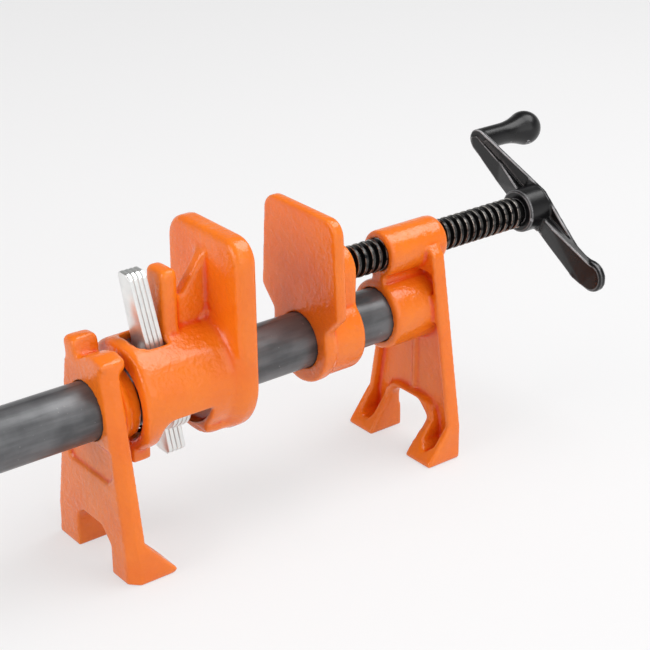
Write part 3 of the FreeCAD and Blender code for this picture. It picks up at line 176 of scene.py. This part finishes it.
def dark_pipe():
    # Black steel pipe as the mill leaves it: a smooth dark oxide under a thin lacquer, drawn along its
    # length, with faint rubbed streaks and a few pale pin pricks where scale has come off.
    material, tree, place = empty_material("mill_finish_black_pipe")
    drawn = node(tree, "ShaderNodeMapping", {"Vector": place, "Scale": (0.1, 1.0, 1.0)}).outputs["Vector"]
    streaks = noise(tree, drawn, 4, 4.0)
    patches = noise(tree, place, 16, 4.0)
    both = node(tree, "ShaderNodeMath", {0: streaks, 1: patches}, operation="ADD").outputs["Value"]
    tone = ranged(tree, both, 0.8, 1.2)
    colour = two_tone(tree, tone, linear("#47484A"), linear("#666769"))
    scale = noise(tree, place, 1.6, 3.0)
    pricks = ranged(tree, scale, 0.70, 0.78, to_high=0.6)
    pricked = two_tone(tree, pricks, colour, linear("#9A9A98"))
    rounded = node(tree, "ShaderNodeBevel", {"Radius": 0.5 * MM}, samples=4).outputs["Normal"]
    bump = bumped(tree, both, 0.12, 0.4, rounded)
    rough = ranged(tree, streaks, to_low=0.26, to_high=0.38)
    shader = node(tree, "ShaderNodeBsdfPrincipled", {
        "Base Color": pricked, "Metallic": 0.25, "Roughness": rough, "Normal": bump,
    })
    node(tree, "ShaderNodeOutputMaterial", {"Surface": shader.outputs["BSDF"]})
    return material


def dark_screw(axis_side, axis_height):
    # Blackened steel screw: rolled thread, oily black in its roots, with the corners of its crests painted
    # bright, partly as oxide rubbed off to bright steel where the head's nut runs and partly as a painted
    # highlight.
    material, tree, place = empty_material("blackened_steel_screw")
    parts = node(tree, "ShaderNodeSeparateXYZ", {"Vector": place})
    flat = node(tree, "ShaderNodeCombineXYZ", {"Y": parts.outputs["Y"], "Z": parts.outputs["Z"]})
    reach = node(tree, "ShaderNodeVectorMath", {
        0: flat.outputs["Vector"], 1: (0.0, axis_side, axis_height),
    }, operation="DISTANCE").outputs["Value"]
    corner = ranged(tree, reach, 7.35 * MM, 7.75 * MM)
    crest = ranged(tree, reach, 7.86 * MM, 7.80 * MM, to_low=0.1)
    rub = noise(tree, place, 2.6, 4.0)
    share = ranged(tree, rub, 0.36, 0.54)
    # Crest corners painted bright steel: partly wear from the nut, partly a painted highlight
    rim = product(tree, corner, crest)
    wear_and_painted_highlight = product(tree, rim, share)
    colour = two_tone(tree, wear_and_painted_highlight, linear("#232324"), linear("#C9C6BF"))
    grain = noise(tree, place, 0.9, 3.0)
    bump = bumped(tree, grain, 0.08, 0.6)
    rough = ranged(tree, rub, to_low=0.20, to_high=0.42)
    shader = node(tree, "ShaderNodeBsdfPrincipled", {
        "Base Color": colour, "Metallic": 0.85, "Roughness": rough, "Normal": bump,
    })
    node(tree, "ShaderNodeOutputMaterial", {"Surface": shader.outputs["BSDF"]})
    return material


def spring_wire():
    # Oil-tempered spring wire: dark drawn steel with a fine grain and a soft shine
    material, tree, place = empty_material("oil_tempered_wire")
    lines = noise(tree, place, 0.8, 3.0)
    tone = ranged(tree, lines, 0.35, 0.65)
    colour = two_tone(tree, tone, linear("#1B1A1A"), linear("#2E2D2C"))
    bump = bumped(tree, lines, 0.03, 0.5)
    rough = ranged(tree, lines, to_low=0.40, to_high=0.60)
    shader = node(tree, "ShaderNodeBsdfPrincipled", {
        "Base Color": colour, "Metallic": 1.0, "Roughness": rough, "Normal": bump,
    })
    node(tree, "ShaderNodeOutputMaterial", {"Surface": shader.outputs["BSDF"]})
    return material


def black_enamel():
    # Gloss black enamel baked on a zinc die casting: nearly black with a wet shine and a faint peel. Its edges
    # are painted light grey, partly as enamel rubbed by hands and benches and partly as a painted highlight.
    material, tree, place = empty_material("gloss_black_enamel")
    cloud = noise(tree, place, 9, 3.0)
    tone = ranged(tree, cloud, 0.35, 0.65)
    colour = two_tone(tree, tone, linear("#060607"), linear("#0E0E10"))
    # Edges painted light grey: partly enamel rubbed away, partly a painted highlight
    bend = node(tree, "ShaderNodeNewGeometry").outputs["Pointiness"]
    edge = ranged(tree, bend, 0.512, 0.528)
    patchy = ranged(tree, tone, to_low=0.45)
    rub = product(tree, edge, patchy)
    painted = two_tone(tree, rub, colour, linear("#A4A4A6"))
    peel = noise(tree, place, 3.0, 2.0)
    bump = bumped(tree, peel, 0.12, 0.35)
    rough = ranged(tree, cloud, to_low=0.23, to_high=0.34)
    shader = node(tree, "ShaderNodeBsdfPrincipled", {
        "Base Color": painted, "Roughness": rough, "Normal": bump, "IOR": 1.5,
        "Specular IOR Level": 0.40,
    })
    node(tree, "ShaderNodeOutputMaterial", {"Surface": shader.outputs["BSDF"]})
    return material


def zinc_plate():
    # Bright zinc plating on stamped steel: pale and slightly cold, smooth with a cloudy bloom, brighter on
    # its rolled-over edges.
    material, tree, place = empty_material("bright_zinc_plate")
    bloom = noise(tree, place, 7, 4.0)
    tone = ranged(tree, bloom, 0.3, 0.7)
    colour = two_tone(tree, tone, linear("#E2E5E4"), linear("#F1F3F1"))
    grain = noise(tree, place, 1.1, 3.0)
    bump = bumped(tree, grain, 0.03, 0.4)
    rough = ranged(tree, bloom, to_low=0.24, to_high=0.38)
    shader = node(tree, "ShaderNodeBsdfPrincipled", {
        "Base Color": colour, "Metallic": 0.85, "Roughness": rough, "Normal": bump,
    })
    node(tree, "ShaderNodeOutputMaterial", {"Surface": shader.outputs["BSDF"]})
    return material


def studio_floor():
    # Matt white sweep: the camera and shiny pieces see it as a plain pale ground that keeps the shadow
    material, tree, place = empty_material("matt_white_sweep")
    tone = noise(tree, place, 400, 1.0)
    colour = two_tone(tree, tone, linear("#E6E6E7"), linear("#EAEAEB"))
    matt = node(tree, "ShaderNodeBsdfPrincipled", {
        "Base Color": colour, "Roughness": 0.9, "Specular IOR Level": 0.1,
    })
    glow = node(tree, "ShaderNodeEmission", {"Color": linear("#FFFFFF"), "Strength": 0.92})
    # The glow is a little more than half of what is seen, so the shadow on the matt part still shows
    share = product(tree, seen_directly(tree), 0.6)
    floor = node(tree, "ShaderNodeMixShader", {0: share, 1: matt.outputs["BSDF"], 2: glow.outputs["Emission"]})
    node(tree, "ShaderNodeOutputMaterial", {"Surface": floor.outputs["Shader"]})
    return material


# Helpers for new pieces

def stored(name, mesh):
    """Keeps a working mesh as mesh data."""
    data = bpy.data.meshes.new(name)
    mesh.to_mesh(data)
    mesh.free()
    return data


def placed(name, data):
    """Adds an object to the scene."""
    made = bpy.data.objects.new(name, data)
    bpy.context.scene.collection.objects.link(made)
    return made


def finish_piece(name, mesh, material, body):
    """Makes a mesh an object of the clamp, with its normals outwards."""
    bmesh.ops.remove_doubles(mesh, verts=mesh.verts, dist=WELD)
    bmesh.ops.recalc_face_normals(mesh, faces=mesh.faces)
    piece = placed(name, stored(name, mesh))
    piece.data.materials.append(material)
    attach(piece, body)
    return piece


def outline(mesh, places):
    """Vertices at (along the pipe, height) places in the plane over an axis."""
    return [mesh.verts.new((x, 0.0, z)) for x, z in places]


def wound(mesh, places, pitch, turns, steps):
    """Winds a closed section about the X axis as it climbs along it; turns below nothing go the other way.

    steps is the number of sections in a turn.
    """
    face = mesh.faces.new(outline(mesh, places))
    count = int(abs(turns) * steps)
    bmesh.ops.spin(
        mesh, geom=[face] + face.edges[:] + face.verts[:], cent=(0, 0, 0), axis=(1, 0, 0),
        dvec=(pitch * abs(turns) / count, 0, 0), angle=math.tau * turns, steps=count, use_duplicate=False,
    )


def turned(mesh, places, steps):
    """Turns an outline of (along, radius) places about the X axis; it starts and ends on the axis."""
    verts = outline(mesh, places)
    edges = [mesh.edges.new(pair) for pair in zip(verts, verts[1:])]
    bmesh.ops.spin(
        mesh, geom=verts + edges, cent=(0, 0, 0), axis=(1, 0, 0), angle=math.tau, steps=steps,
        use_merge=True, use_duplicate=False,
    )


def smooth_by_angle(piece, degrees):
    """Shades the piece smooth and keeps its corners sharp."""
    data = piece.data
    for polygon in data.polygons:
        polygon.use_smooth = True
    data.set_sharp_from_angle(angle=math.radians(degrees))


def merged_copy(carried):
    """A CAD node's mesh with its loose triangles joined."""
    mesh = bmesh.new()
    mesh.from_mesh(nodes[carried].data)
    bmesh.ops.remove_doubles(mesh, verts=mesh.verts, dist=WELD)
    bmesh.ops.recalc_face_normals(mesh, faces=mesh.faces)
    return mesh


def wrapped(places):
    """A closed solid wrapped round its corners."""
    mesh = bmesh.new()
    corners = [mesh.verts.new(place) for place in places]
    bmesh.ops.convex_hull(mesh, input=corners)
    bmesh.ops.recalc_face_normals(mesh, faces=mesh.faces)
    return mesh


def settled(piece):
    """The piece's mesh with its modifiers applied, and the modifiers gone."""
    ready = bpy.data.meshes.new_from_object(piece.evaluated_get(bpy.context.evaluated_depsgraph_get()))
    piece.modifiers.clear()
    piece.data = ready
    return ready


def cast_piece(name, carried, material, grid, rounds, held=None, blends=(), cuts=(), pads=()):
    """Replaces a CAD node by the same form as it leaves the mould, with rounded edges and blended corners.

    grid is the size of the new mesh's faces, and rounds is how many times it is smoothed. Places that
    held(point) picks were cut after casting and keep their shape. blends holds (picks(point), rounds)
    pairs for corners that run together more softly. cuts and pads hold the corners of solids that are
    taken off, then added, before the faces are made even.
    """
    piece = placed(name, stored(name, merged_copy(carried)))
    for places in cuts:
        tool = placed("cutter", stored("cutter", wrapped(places)))
        cut = piece.modifiers.new("cut", "BOOLEAN")
        cut.operation = "DIFFERENCE"
        cut.solver = "EXACT"
        cut.object = tool
        settled(piece)
        bpy.data.objects.remove(tool)
    mesh = bmesh.new()
    mesh.from_mesh(piece.data)
    for places in pads:
        lump = stored("lump", wrapped(places))
        mesh.from_mesh(lump)
        bpy.data.meshes.remove(lump)
    mesh.to_mesh(piece.data)
    mesh.free()
    skin = piece.modifiers.new("even_faces", "REMESH")
    skin.mode = "VOXEL"
    skin.voxel_size = grid
    data = settled(piece)
    data.name = name
    mesh = bmesh.new()
    mesh.from_mesh(data)
    free = [vert for vert in mesh.verts if not (held and held(vert.co))]
    for picks, more in [(None, rounds)] + list(blends):
        moved = [vert for vert in free if picks(vert.co)] if picks else free
        for turn in range(more):
            bmesh.ops.smooth_vert(
                mesh, verts=moved, factor=0.5, use_axis_x=True, use_axis_y=True, use_axis_z=True,
            )
    mesh.to_mesh(data)
    mesh.free()
    data.materials.clear()
    data.materials.append(material)
    for polygon in data.polygons:
        polygon.use_smooth = True
    record = frame["record"]
    bodies = record["behaviour"]["bodies"]
    body = next(body for body in bodies if carried in bodies[body])
    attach(piece, body)
    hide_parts(carried)


def stamped_piece(name, carried, material, edge, body):
    """Replaces a CAD node by the same stamping with rounded edges."""
    mesh = merged_copy(carried)
    bmesh.ops.dissolve_limit(mesh, angle_limit=math.radians(1), verts=mesh.verts, edges=mesh.edges)
    corners = [line for line in mesh.edges if line.calc_face_angle(0) > math.radians(40)]
    bmesh.ops.bevel(mesh, geom=corners, offset=edge, offset_type="OFFSET", segments=2, profile=0.5,
                    affect="EDGES", material=-1, clamp_overlap=True)
    bmesh.ops.triangulate(mesh, faces=[face for face in mesh.faces if len(face.verts) > 4])
    piece = finish_piece(name, mesh, material, body)
    smooth_by_angle(piece, 30)
    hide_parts(carried)


# Finishes of the carried-over pieces

screw_low, screw_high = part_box("main_screw")
axis_side = (screw_low.y + screw_high.y) / 2
axis_height = (screw_low.z + screw_high.z) / 2
pipe_low, pipe_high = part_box("pipe")
pipe_side = (pipe_low.y + pipe_high.y) / 2
pipe_height = (pipe_low.z + pipe_high.z) / 2

finishes = {
    "orange_enamel": orange_enamel(),
    "dark_pipe": dark_pipe(),
    "dark_screw": dark_screw(axis_side, axis_height),
    "black_enamel": black_enamel(),
    "zinc_plate": zinc_plate(),
    "plain_steel": spring_wire(),
}

for part in frame["record"]["subparts"]:
    carried = nodes[part["node"]]
    carried.data.materials.clear()
    carried.data.materials.append(finishes[part["material_slot"]])


# The castings, with the soft edges that sand and paint give them

def from_pipe(place):
    """How far a place is from the pipe's axis."""
    return math.hypot(place.y - pipe_side, place.z - pipe_height)


def from_screw(place):
    """How far a place is from the screw's axis."""
    return math.hypot(place.y - axis_side, place.z - axis_height)


jaw_low, jaw_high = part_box("sliding_jaw")
tail_low, tail_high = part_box("tail_jaw")
STAND_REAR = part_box("tail_stand")[0].x
CRANK_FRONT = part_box("crank_handle")[0].x
PLATE_REAR = tail_high.x - 10.4 * MM
BARREL = 25.6 * MM
BARREL_LIFT = 2.2 * MM
# Just outside the castings' holes for the pipe
BORE = 14.0 * MM


def by_barrel_root(place):
    """Near the corner between the barrel and the rear of the tail jaw's plate."""
    around = math.hypot(place.y - pipe_side, place.z - pipe_height - BARREL_LIFT)
    return math.hypot(place.x - PLATE_REAR, around - BARREL) < 5 * MM


def by_gusset(place):
    """On and beside the gusset between the finger tab and the plate."""
    return (abs(place.y - pipe_side) < 8 * MM and place.z > pipe_height + BARREL + 10 * MM
            and PLATE_REAR - 9 * MM < place.x < PLATE_REAR + 1 * MM)


def by_arch(place):
    """Over and beside the arch between the head's feet."""
    return abs(place.y - axis_side) < 17 * MM and 12 * MM < place.z < 31 * MM


def by_stand_top(place):
    """The top of the stand, with its thumb rest."""
    return place.z > pipe_height + 18.5 * MM


# The crank is described in millimetres from the front of its hub, along the screw, and from the screw's
# axis, out along the arm with the grip and across it. Below nothing, out runs along the other arm.
ARM_LEAN = math.radians(27)
HUB = 10.9
RIB_DEPTH = 13.3


def on_crank(along, out, across):
    """A place on the crank."""
    return (CRANK_FRONT + along * MM,
            axis_side + (out * math.cos(ARM_LEAN) - across * math.sin(ARM_LEAN)) * MM,
            axis_height + (out * math.sin(ARM_LEAN) + across * math.cos(ARM_LEAN)) * MM)


def crank_solid(rows):
    """The corners of a solid on the crank from rows of (along, far along, out, across)."""
    return [on_crank(along, out, across) for near, far, out, across in rows for along in (near, far)]


def rib_end(out, low, high):
    """The lower and upper corners of the plain rib's box, this far out."""
    return [(-1, RIB_DEPTH, out, low), (-1, RIB_DEPTH, out, high)]


crank_cuts = [
    # the plain rib on the front of each arm
    crank_solid(rib_end(HUB + 0.1, -14, 14) + rib_end(62, -14, 14)),
    crank_solid(rib_end(-HUB - 0.1, -18, 14) + rib_end(-38, -18, 14)),
    # the trough between the ridge and the upper edge of the arm with the grip
    crank_solid([(12.0, 13.0, HUB + 0.3, 3.0), (12.0, 14.6, HUB + 0.3, 8.2),
                 (12.0, 13.0, 46, 2.6), (12.0, 14.4, 46, 5.0),
                 (12.0, 13.0, HUB + 0.3, 8.9), (12.0, 13.0, 46, 5.6)]),
]
crank_pads = [
    # the leaf below the ridge, rim to ridge, and the ridge's rise to the hub
    crank_solid([(11.3, 14.5, 8, -9.3), (11.9, 14.5, 30, -7.5), (12.6, 14.5, 51, -4.6),
                 (11.3, 14.5, 8, 2.6), (12.5, 14.5, 51, 2.2), (12.6, 14.5, 54, -1.0)]),
    crank_solid([(8.3, 14.0, 7, 2.6), (8.3, 14.0, 11.3, 2.6), (12.0, 14.0, 31, 2.7),
                 (11.2, 14.0, 8, -8.6), (11.8, 14.0, 26, -7.2)]),
    # the lower arm, which swells and runs out level with the paddle
    crank_solid([(8.8, 14.5, -7, 2.0), (8.9, 14.5, -18, 1.6), (9.4, 14.5, -24, 1.5),
                 (10.3, 14.5, -29.5, 1.5), (11.5, 14.5, -33.8, 1.5), (12.6, 14.5, -38.0, 1.2),
                 (10.8, 14.5, -7, -8.0), (11.2, 14.5, -20, -10.0), (11.3, 14.5, -38.5, -12.1),
                 (11.3, 14.5, -46, -10.9), (11.3, 14.5, -50, 2.6)]),
]
# paint closes the ends of the hole for the cross pin
for side in (-1, 1):
    crank_pads.append(crank_solid([(3.4, 7.8, out, side * across) for out, across in (
        (-2.0, 8.0), (2.0, 8.0), (-2.0, 10.7), (-1.0, 10.85), (0.0, 10.9), (1.0, 10.85), (2.0, 10.7))]))


def block(low, high):
    """The eight corners of a block."""
    return [(x, y, z) for x in (low[0], high[0]) for y in (low[1], high[1]) for z in (low[2], high[2])]


# The column behind the sliding jaw is as wide as the screw's boss and clear of the screw's nose
COLUMN = 11.9 * MM
BESIDE_NOSE = 7 * MM
UNDER_NOSE = 7.2 * MM
column_rear = jaw_low.x + 4 * MM
column_front = jaw_high.x - 0.3 * MM
column_foot = pipe_height + 14 * MM
column = [
    block((column_rear, axis_side - COLUMN, column_foot),
          (column_front, axis_side + COLUMN, axis_height - UNDER_NOSE)),
    block((column_rear, axis_side - COLUMN, column_foot),
          (column_front, axis_side - BESIDE_NOSE, axis_height)),
    block((column_rear, axis_side + BESIDE_NOSE, column_foot),
          (column_front, axis_side + COLUMN, axis_height)),
]

# The skirt under the tail jaw's barrel stops short of the clutch's slot
SKIRT = 18.6 * MM
skirt_end = block((tail_high.x - 23.5 * MM, pipe_side - SKIRT, tail_low.z - 2 * MM),
                  (tail_high.x - 18.4 * MM, pipe_side + SKIRT, pipe_height - 20 * MM))

# The sill closes the lower lip of the barrel's mouth
SILL = 9.8 * MM
sill = block((tail_low.x + 1.9 * MM, pipe_side - SILL, tail_low.z + 0.1 * MM),
             (tail_low.x + 9.6 * MM, pipe_side + SILL, pipe_height - 16.3 * MM))


# The stand is described in millimetres from its rear face, from the pipe's axis and up from the bench

def on_stand(along, across, height):
    """A place on the stand."""
    return (STAND_REAR + along * MM, pipe_side + across * MM, height * MM)


def stand_corner(rows):
    """What comes off the stand's near rear corner, from rows of (height, half width, width of the flat)."""
    return [on_stand(along, -across, height)
            for height, half, flat in rows
            for along, across in ((-1, half + 1), (flat + 1, half + 1), (-1, half - flat - 1))]


stand_cuts = [stand_corner([(-1, 31.2, 4.6), (16, 30.6, 4.2)]),
              stand_corner([(16, 30.6, 4.2), (98, 15.7, 3.2)])]
thumb_rest = [on_stand(*place) for place in (
    (-0.3, 6.6, 98.0), (-0.3, 7.6, 103.6), (1.5, 8.4, 105.2), (11.5, 8.4, 105.0), (13.0, 7.6, 103.0),
    (13.0, 7.0, 98.0), (-0.3, 16.0, 98.0), (-0.3, 16.8, 102.6), (1.5, 16.0, 104.8), (11.5, 15.8, 104.4),
    (13.0, 15.8, 102.4), (13.0, 15.8, 98.0))]
thumb_root = [on_stand(along, across, height) for along in (0.3, 8.2) for across, height in (
    (8.5, 101.0), (5.6, 98.0), (8.5, 96.0))]


def in_pipe_hole(place):
    """Beside the pipe, where the hole for it was cut after casting."""
    return from_pipe(place) < BORE


cast_piece("tail_jaw_casting", "tail_jaw", finishes["orange_enamel"], 0.85 * MM, 6, in_pipe_hole,
           [(by_barrel_root, 36), (by_gusset, 8)], cuts=[skirt_end], pads=[sill])
cast_piece("sliding_jaw_casting", "sliding_jaw", finishes["orange_enamel"], 0.75 * MM, 7,
           lambda place: in_pipe_hole(place) or from_screw(place) < 7 * MM, pads=column)
cast_piece("head_with_feet_casting", "head_casting", finishes["orange_enamel"], 0.75 * MM, 8,
           lambda place: in_pipe_hole(place) or from_screw(place) < 9 * MM, [(by_arch, 14)])
cast_piece("stand_casting", "tail_stand", finishes["orange_enamel"], 0.7 * MM, 8, in_pipe_hole,
           [(by_stand_top, 14)], cuts=stand_cuts, pads=[thumb_rest, thumb_root])
cast_piece("crank_casting", "crank_handle", finishes["black_enamel"], 0.42 * MM, 5,
           lambda place: from_screw(place) < 7 * MM, cuts=crank_cuts, pads=crank_pads)
for number in range(1, 5):
    stamped_piece("clutch_stamping_%d" % number, "clutch_plate_%d" % number, finishes["zinc_plate"],
                  0.32 * MM, "clutch")

# The threaded screw: 5/8 inch with six turns to the inch, on a plain core
PITCH = 25.4 / 6 * MM
CREST = 7.94 * MM
ROOT = 5.7 * MM
NOSE = 6.0 * MM
END = 6.2 * MM
CHAMFER = 0.7 * MM
GROOVE = 3.65 * MM
GROOVE_HALF = 2.15 * MM
thread_foot = 0.72 * PITCH
thread_start = jaw_high.x + 0.15 * MM
thread_turns = (CRANK_FRONT - thread_start - thread_foot) / PITCH
screw_mesh = bmesh.new()
wound(screw_mesh, [
    (0.0, ROOT - 0.3 * MM),
    (0.10 * PITCH, ROOT + 0.25 * MM),
    (0.155 * PITCH, CREST - 0.42 * MM),
    (0.20 * PITCH, CREST - 0.08 * MM),
    (0.27 * PITCH, CREST),
    (0.45 * PITCH, CREST),
    (0.52 * PITCH, CREST - 0.08 * MM),
    (0.565 * PITCH, CREST - 0.42 * MM),
    (0.62 * PITCH, ROOT + 0.25 * MM),
    (thread_foot, ROOT - 0.3 * MM),
], PITCH, -thread_turns, 36)
bmesh.ops.translate(screw_mesh, verts=screw_mesh.verts, vec=(thread_start, 0, 0))
groove_middle = jaw_high.x - 5.5 * MM
turned(screw_mesh, [
    (screw_low.x, 0.0),
    (screw_low.x, NOSE - CHAMFER),
    (screw_low.x + CHAMFER, NOSE),
    (groove_middle - GROOVE_HALF, NOSE),
    (groove_middle - GROOVE_HALF, GROOVE),
    (groove_middle + GROOVE_HALF, GROOVE),
    (groove_middle + GROOVE_HALF, NOSE),
    (thread_start, NOSE),
    (thread_start, ROOT),
    (CRANK_FRONT, ROOT),
    (CRANK_FRONT, END),
    (screw_high.x - CHAMFER, END),
    (screw_high.x, END - CHAMFER),
    (screw_high.x, 0.0),
], 48)
bmesh.ops.translate(screw_mesh, verts=screw_mesh.verts, vec=(0, axis_side, axis_height))
threaded_screw = finish_piece("threaded_screw", screw_mesh, finishes["dark_screw"], "screw")
smooth_by_angle(threaded_screw, 35)
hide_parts("main_screw")

# The clutch spring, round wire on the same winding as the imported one
WIRE = 0.8 * MM
WIRE_SIDES = 12
SPRING_TURNS = 2
spring_low, spring_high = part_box("clutch_spring")
coil = (spring_high.z - spring_low.z) / 2 - WIRE
wire_section = [(WIRE * math.sin(math.tau * side / WIRE_SIDES),
                 coil + WIRE * math.cos(math.tau * side / WIRE_SIDES)) for side in range(WIRE_SIDES)]
spring_length = spring_high.x - spring_low.x - 2 * WIRE
spring_mesh = bmesh.new()
wound(spring_mesh, wire_section, spring_length / SPRING_TURNS, -SPRING_TURNS, 48)
bmesh.ops.translate(spring_mesh, verts=spring_mesh.verts, vec=(spring_low.x + WIRE, pipe_side, pipe_height))
coil_spring = finish_piece("coil_spring", spring_mesh, finishes["plain_steel"], "tail")
smooth_by_angle(coil_spring, 50)
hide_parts("clutch_spring")
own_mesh(coil_spring)

# The thread on the pipe's tail end: fourteen turns to the inch, nine of them
THREAD = 25.4 / 14 * MM
THREAD_TURNS = 9
THREAD_HEIGHT = 0.44 * MM
LAND = 12.85 * MM
thread_mesh = bmesh.new()
wound(thread_mesh, [
    (0.0, LAND - 0.3 * MM),
    (0.12 * THREAD, LAND),
    (0.40 * THREAD, LAND + THREAD_HEIGHT),
    (0.60 * THREAD, LAND + THREAD_HEIGHT),
    (0.88 * THREAD, LAND),
    (1.00 * THREAD, LAND - 0.3 * MM),
], THREAD, -THREAD_TURNS, 32)
bmesh.ops.translate(thread_mesh, verts=thread_mesh.verts, vec=(pipe_low.x + 0.9 * MM, pipe_side, pipe_height))
pipe_thread = finish_piece("pipe_thread", thread_mesh, finishes["dark_pipe"], "base")
smooth_by_angle(pipe_thread, 35)

# Floor, surround, lamps and camera

floor_mesh = bmesh.new()
bmesh.ops.create_grid(floor_mesh, x_segments=1, y_segments=1, size=4.0)
floor = placed("floor", stored("floor", floor_mesh))
floor.data.materials.append(studio_floor())

world = bpy.data.worlds.new("studio_surround")
bpy.context.scene.world = world
world.use_nodes = True
sky = world.node_tree
sky.nodes.clear()
# Shiny pieces see a pale surround at eye level and a dimmer ceiling
facing = node(sky, "ShaderNodeTexCoord").outputs["Generated"]
height = node(sky, "ShaderNodeSeparateXYZ", {"Vector": facing}).outputs["Z"]
mirrored = ranged(sky, height, 0.0, 0.5, to_low=0.85, to_high=0.16)
strength = ranged(sky, seen_directly(sky), to_low=0.45, to_high=mirrored)
surround = node(sky, "ShaderNodeBackground", {"Color": linear("#FFFFFF"), "Strength": strength})
node(sky, "ShaderNodeOutputWorld", {"Surface": surround.outputs["Background"]})

# The lamps face the tail jaw, near the middle of the picture
LAMP_AIM = Vector((0.05, 0.0, 0.08))


def softbox(name, place, side, power, tint="#FFFFFF"):
    """A large square lamp."""
    lamp = bpy.data.lights.new(name, "AREA")
    lamp.shape = "RECTANGLE"
    lamp.size = side
    lamp.size_y = side
    lamp.energy = power
    lamp.color = linear(tint)[:3]
    turn = (LAMP_AIM - Vector(place)).to_track_quat("-Z", "Y").to_matrix().to_4x4()
    placed(name, lamp).matrix_world = Matrix.Translation(place) @ turn


softbox("near_softbox", (0.1, -1.35, 0.85), 1.5, 8.8)
softbox("overhead_softbox", (0.72, -0.22, 1.31), 1.0, 14.0)
softbox("left_softbox", (-1.3, 0.1, 0.7), 0.9, 10.0, "#FFF2F0")

# The camera that took the photo, solved from the clamp's long edges; the focal length is in its pixels
PHOTO_WIDTH = 650
FOCAL_LENGTH = 1694.3
SENSOR = 36
STANDPOINT = (-0.33024, -0.56816, 0.41158)
AZIMUTH = math.radians(-37.934)
ELEVATION = math.radians(24.965)
ROLL = math.radians(-0.077)
back = Vector((math.sin(AZIMUTH) * math.cos(ELEVATION),
               -math.cos(AZIMUTH) * math.cos(ELEVATION),
               math.sin(ELEVATION)))
level_right = Vector((math.cos(AZIMUTH), math.sin(AZIMUTH), 0))
level_up = back.cross(level_right)
right = level_right * math.cos(ROLL) + level_up * math.sin(ROLL)
up = back.cross(right)
lens = bpy.data.cameras.new("camera")
lens.lens = FOCAL_LENGTH / PHOTO_WIDTH * SENSOR
lens.sensor_width = SENSOR
lens.clip_end = 20
camera = placed("camera", lens)
camera.matrix_world = Matrix.Translation(STANDPOINT) @ Matrix((right, up, back)).transposed().to_4x4()
bpy.context.scene.camera = camera
bpy.context.scene.view_settings.view_transform = "Standard"
